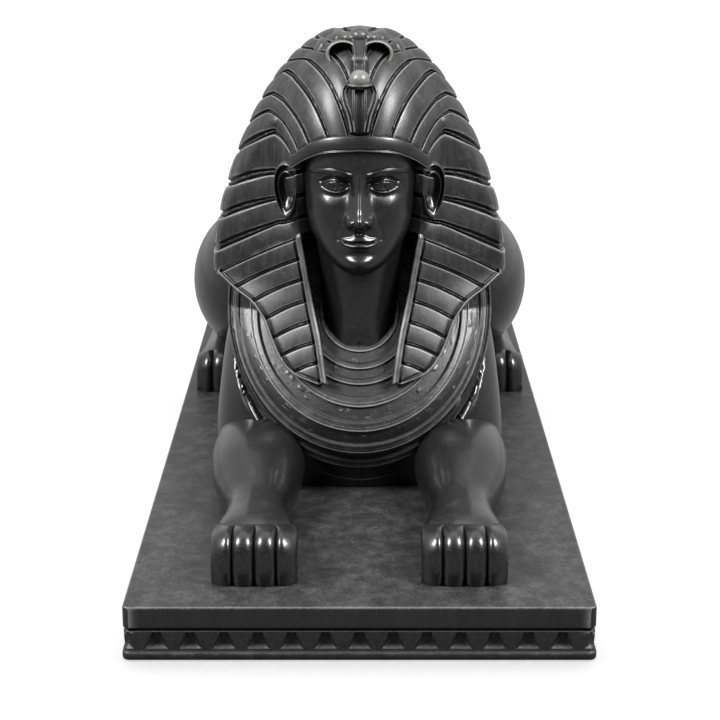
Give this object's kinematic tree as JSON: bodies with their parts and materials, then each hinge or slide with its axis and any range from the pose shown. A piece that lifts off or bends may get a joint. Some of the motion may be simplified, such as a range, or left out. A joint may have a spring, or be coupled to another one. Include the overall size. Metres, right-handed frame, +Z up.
{
  "type": "sphinx statue",
  "caption": "Recumbent sphinx with a pleated royal headcloth, brow cobra and broad collar, on a two-step plinth with a frieze of recesses.",
  "frame": {"origin": "middle of the plinth's underside, where the statue stands on its table", "axes": "+X to the statue's left-hand side seen from the front as right, -Y the way the face looks, +Z up"},
  "size_m": [0.1106, 0.2506, 0.1357],
  "materials": {
    "figure": "near-black cast resin, polished on face, paws and haunches, rubbed grey on the headcloth",
    "plinth": "near-black cast resin, satin with a fine grain"
  },
  "bodies": {
    "root": {"sphinx": "figure", "plinth": "plinth"}
  },
  "joints": []
}
